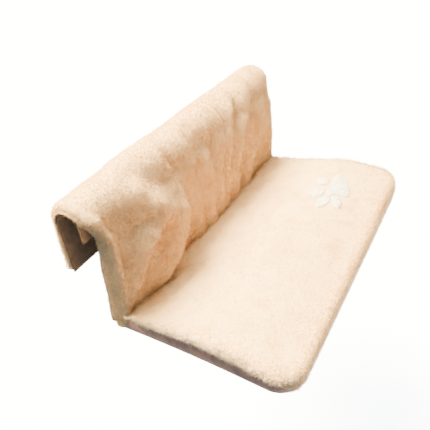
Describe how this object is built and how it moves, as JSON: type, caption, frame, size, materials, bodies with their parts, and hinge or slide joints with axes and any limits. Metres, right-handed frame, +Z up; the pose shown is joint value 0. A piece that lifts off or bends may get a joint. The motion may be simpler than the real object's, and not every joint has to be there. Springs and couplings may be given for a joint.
{
  "type": "hanging cat perch",
  "caption": "Padded cat seat on a steel frame that hooks over a horizontal pipe rail, in a cream plush cover with a folded back, a paw print and a clamped height setting.",
  "frame": {"origin": "on the axis of the rail that the perch hangs from, midway along the perch", "axes": "+X along the rail, +Y towards the bed, -Y the way the seat stands out, +Z up"},
  "size_m": [0.496, 0.3156, 0.211],
  "materials": {
    "cream_plush": "short cream-beige pile, matt with a soft sheen",
    "taupe_cloth": "greyish taupe woven cloth, matt",
    "tan_lining": "orange-brown lining cloth, matt",
    "white_plush": "short white pile",
    "wadding": "soft white padding",
    "hardboard": "smooth brown hardboard",
    "black_steel": "satin black powder coat",
    "black_plastic": "moulded black nylon",
    "zinc_steel": "zinc-plated steel",
    "zip_tape_cloth": "fine brown woven tape"
  },
  "bodies": {
    "hook_frame": {"hook_left": "black_steel", "hook_right": "black_steel", "hook_sleeve_left": "black_plastic", "hook_sleeve_right": "black_plastic", "hook_tip_cap_left": "black_plastic", "hook_tip_cap_right": "black_plastic", "rear_tie_bar": "black_steel", "roll_wadding": "wadding", "rail_cover": "cream_plush", "rail_lining": "tan_lining"},
    "seat_frame": {"back_drape": "cream_plush", "back_gusset_left": "cream_plush", "back_gusset_right": "cream_plush", "seat_cover_top": "cream_plush", "seat_side_band_left": "taupe_cloth", "seat_side_band_right": "taupe_cloth", "seat_rear_band": "taupe_cloth", "seat_underside": "taupe_cloth", "cover_tie_left": "taupe_cloth", "cover_tie_right": "taupe_cloth", "back_lining": "tan_lining", "paw_main_pad": "white_plush", "paw_toe_1": "white_plush", "paw_toe_2": "white_plush", "paw_toe_3": "white_plush", "paw_toe_4": "white_plush", "seat_foam": "wadding", "seat_board": "hardboard", "seat_loop_tube": "black_steel", "rear_cross_tube": "black_steel", "seat_rib_left": "black_steel", "seat_rib_right": "black_steel", "back_cross_bar": "black_steel", "upright_left": "black_steel", "upright_right": "black_steel", "upright_collar_left": "black_steel", "upright_collar_right": "black_steel", "corner_fitting_left": "black_plastic", "corner_fitting_right": "black_plastic", "zip_teeth": "black_plastic", "zip_stop_left": "zinc_steel", "zip_stop_right": "zinc_steel", "frame_screw_front_left": "zinc_steel", "frame_screw_upper_left": "zinc_steel", "frame_screw_inner_left": "zinc_steel", "frame_screw_front_right": "zinc_steel", "frame_screw_upper_right": "zinc_steel", "frame_screw_inner_right": "zinc_steel", "zip_tape": "zip_tape_cloth"},
    "clamp_left": {"clamp_screw_left": "zinc_steel", "clamp_knob_left": "black_plastic"},
    "clamp_right": {"clamp_screw_right": "zinc_steel", "clamp_knob_right": "black_plastic"},
    "zip_slider_body": {"zip_slider": "zinc_steel"},
    "zip_pull_body": {"zip_pull": "zinc_steel"}
  },
  "joints": [
    {"name": "seat_height", "type": "slide", "parent": "hook_frame", "child": "seat_frame", "axis": [0, 0, -1], "range_m": [0, 0.04]},
    {"name": "clamp_left_turn", "type": "hinge", "parent": "seat_frame", "child": "clamp_left", "pos_m": [-0.2076, -0.0233, -0.05], "axis": [1, 0, 0], "range_deg": [-720, 720]},
    {"name": "clamp_right_turn", "type": "hinge", "parent": "seat_frame", "child": "clamp_right", "pos_m": [0.2076, -0.0233, -0.05], "axis": [-1, 0, 0], "range_deg": [-720, 720]},
    {"name": "zip_slide", "type": "slide", "parent": "seat_frame", "child": "zip_slider_body", "axis": [-1, 0, 0], "range_m": [0, 0.335]},
    {"name": "zip_pull_swing", "type": "hinge", "parent": "zip_slider_body", "child": "zip_pull_body", "pos_m": [0.1685, -0.0097, -0.16165], "axis": [0, 0, 1], "range_deg": [0, 170]}
  ]
}
